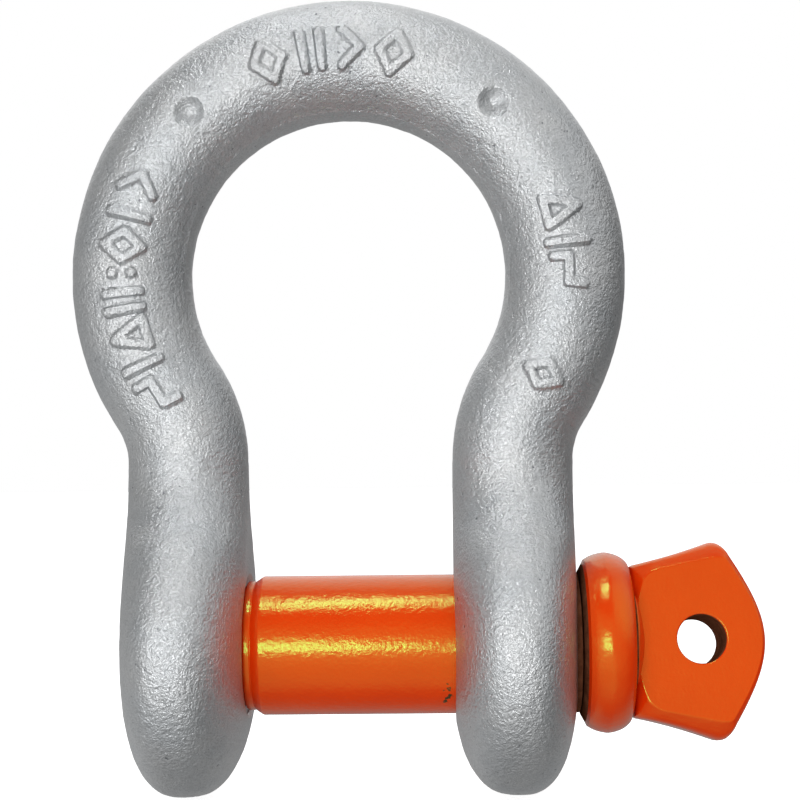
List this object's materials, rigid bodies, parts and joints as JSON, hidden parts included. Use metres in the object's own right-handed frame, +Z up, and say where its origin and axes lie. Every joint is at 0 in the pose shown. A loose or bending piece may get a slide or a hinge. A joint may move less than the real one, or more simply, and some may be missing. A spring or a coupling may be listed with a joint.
{
  "type": "bow shackle",
  "caption": "Forged bow shackle with a round bow, two ears and a threaded screw pin with a flat eye, for joining slings, chain and rope.",
  "frame": {"origin": "on the pin axis, midway between the two ears", "axes": "+X along the pin towards its eye, +Z up from the pin to the crown of the bow, -Y the front"},
  "size_m": [0.1265, 0.0548, 0.1473],
  "materials": {
    "galvanised": "hot-dip galvanised forging with a fine hammered grain",
    "enamel": "glossy orange enamel over steel"
  },
  "bodies": {
    "bow": {"bow_body": "galvanised"},
    "collar": {"pin_collar": "enamel"},
    "pin": {"screw_pin": "enamel"}
  },
  "joints": [
    {"name": "pin_advance", "type": "slide", "parent": "bow", "child": "collar", "axis": [1, 0, 0], "range_m": [0, 0.0889]},
    {"name": "pin_turn", "type": "hinge", "parent": "collar", "child": "pin", "pos_m": [0, 0, 0], "axis": [1, 0, 0], "range_deg": [0, 10079]}
  ],
  "couplings": [
    {"joint": "pin_advance", "follows": "pin_turn", "m_per_rad": 0.00050532}
  ]
}
